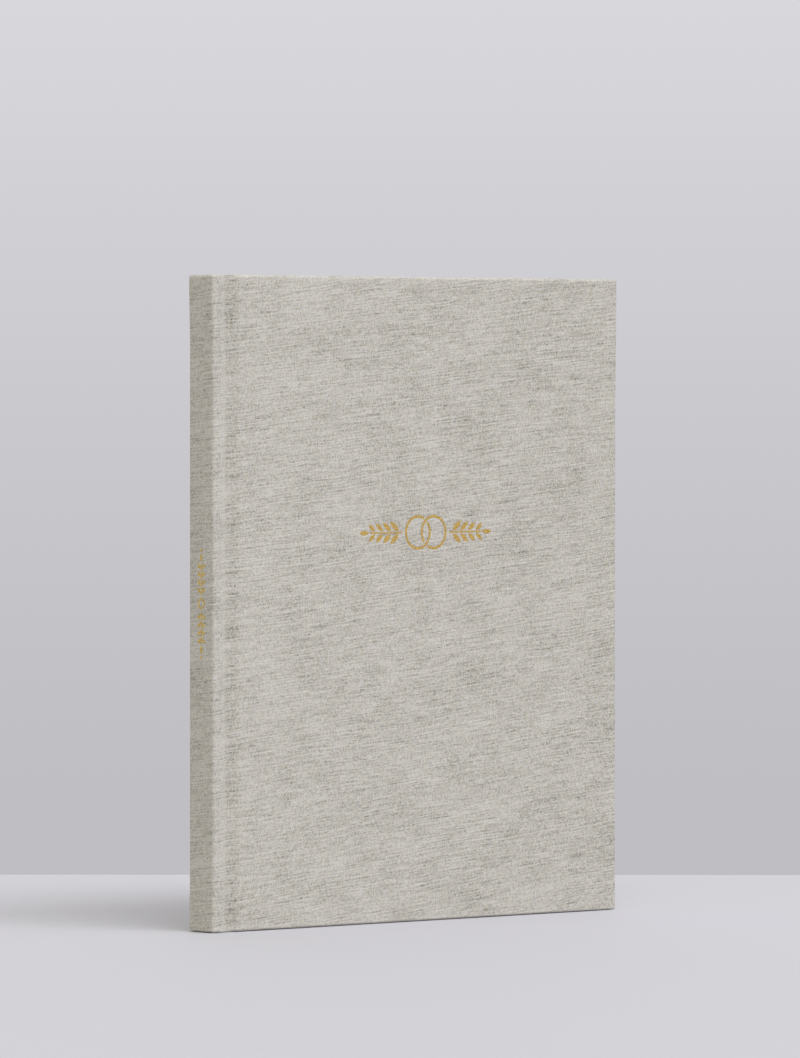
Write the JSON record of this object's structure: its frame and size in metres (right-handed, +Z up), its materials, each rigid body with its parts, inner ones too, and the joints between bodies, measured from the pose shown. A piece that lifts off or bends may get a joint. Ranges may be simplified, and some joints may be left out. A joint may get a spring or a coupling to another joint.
{
  "type": "wedding guest book",
  "caption": "Case-bound wedding guest book in linen-look cloth with gold-foil ring and leaf stamps; hinged covers, sewn page sections and endpapers that fan open.",
  "frame": {"origin": "centre of the foot: the middle of the overall box, on the plane the book stands on", "axes": "+Z up the spine from tail to head; +X from the spine to the fore-edge; -Y out of the front cover, +Y out of the back cover"},
  "size_m": [0.21, 0.0144, 0.25],
  "materials": {
    "greyboard": "matt grey binder's board",
    "cover_cloth": "plain-woven grey and cream melange linen-look book cloth",
    "endpaper": "uncoated off-white endpaper",
    "page_paper": "uncoated ivory text paper",
    "gold_foil": "satin gold stamping foil",
    "mull_gauze": "open cotton gauze set in glue",
    "lining_paper": "kraft lining paper",
    "thread": "linen sewing thread",
    "band_cotton": "woven cotton headband, natural"
  },
  "bodies": {
    "spine_and_block": {"spine_board": "greyboard", "spine_cloth": "cover_cloth", "spine_foil": "gold_foil", "signature_folds": "page_paper", "front_endpaper_joint": "endpaper", "back_endpaper_joint": "endpaper", "mull": "mull_gauze", "spine_lining": "lining_paper", "sewing_thread": "thread", "headband": "band_cotton", "tailband": "band_cotton"},
    "front_cover": {"front_board": "greyboard", "front_cover_cloth": "cover_cloth", "front_pastedown": "endpaper", "cover_foil": "gold_foil"},
    "back_cover": {"back_board": "greyboard", "back_cover_cloth": "cover_cloth", "back_pastedown": "endpaper"},
    "front_flyleaf": {"front_flyleaf": "endpaper"},
    "back_flyleaf": {"back_flyleaf": "endpaper"},
    "leaves_1": {"signature_1": "page_paper"},
    "leaves_2": {"signature_2": "page_paper"},
    "leaves_3": {"signature_3": "page_paper"},
    "leaves_4": {"signature_4": "page_paper"},
    "leaves_5": {"signature_5": "page_paper"},
    "leaves_6": {"signature_6": "page_paper"}
  },
  "joints": [
    {"name": "front_cover_hinge", "type": "hinge", "parent": "spine_and_block", "child": "front_cover", "pos_m": [-0.1016, -0.004, 0.125], "axis": [0, 0, -1], "range_deg": [0, 179]},
    {"name": "back_cover_hinge", "type": "hinge", "parent": "spine_and_block", "child": "back_cover", "pos_m": [-0.1016, 0.004, 0.125], "axis": [0, 0, 1], "range_deg": [0, 179]},
    {"name": "front_flyleaf_turn", "type": "hinge", "parent": "spine_and_block", "child": "front_flyleaf", "pos_m": [-0.095, -0.00368, 0.125], "axis": [0, 0, -1], "range_deg": [0, 120]},
    {"name": "back_flyleaf_turn", "type": "hinge", "parent": "spine_and_block", "child": "back_flyleaf", "pos_m": [-0.095, 0.00368, 0.125], "axis": [0, 0, 1], "range_deg": [0, 120]},
    {"name": "leaves_1_turn", "type": "hinge", "parent": "spine_and_block", "child": "leaves_1", "pos_m": [-0.095, -0.00298, 0.125], "axis": [0, 0, -1], "range_deg": [0, 89.5]},
    {"name": "leaves_6_turn", "type": "hinge", "parent": "spine_and_block", "child": "leaves_6", "pos_m": [-0.095, 0.00298, 0.125], "axis": [0, 0, 1], "range_deg": [0, 89.5]},
    {"name": "leaves_2_turn", "type": "hinge", "parent": "spine_and_block", "child": "leaves_2", "pos_m": [-0.095, -0.00178, 0.125], "axis": [0, 0, -1], "range_deg": [0, 59.7]},
    {"name": "leaves_5_turn", "type": "hinge", "parent": "spine_and_block", "child": "leaves_5", "pos_m": [-0.095, 0.00178, 0.125], "axis": [0, 0, 1], "range_deg": [0, 59.7]},
    {"name": "leaves_3_turn", "type": "hinge", "parent": "spine_and_block", "child": "leaves_3", "pos_m": [-0.095, -0.0006, 0.125], "axis": [0, 0, -1], "range_deg": [0, 29.9]},
    {"name": "leaves_4_turn", "type": "hinge", "parent": "spine_and_block", "child": "leaves_4", "pos_m": [-0.095, 0.0006, 0.125], "axis": [0, 0, 1], "range_deg": [0, 29.9]}
  ],
  "couplings": [
    {"joint": "front_flyleaf_turn", "follows": "front_cover_hinge", "ratio": 0.67},
    {"joint": "back_flyleaf_turn", "follows": "back_cover_hinge", "ratio": 0.67},
    {"joint": "leaves_1_turn", "follows": "front_cover_hinge", "ratio": 0.5},
    {"joint": "leaves_6_turn", "follows": "back_cover_hinge", "ratio": 0.5},
    {"joint": "leaves_2_turn", "follows": "front_cover_hinge", "ratio": 0.3333},
    {"joint": "leaves_5_turn", "follows": "back_cover_hinge", "ratio": 0.3333},
    {"joint": "leaves_3_turn", "follows": "front_cover_hinge", "ratio": 0.1667},
    {"joint": "leaves_4_turn", "follows": "back_cover_hinge", "ratio": 0.1667}
  ]
}
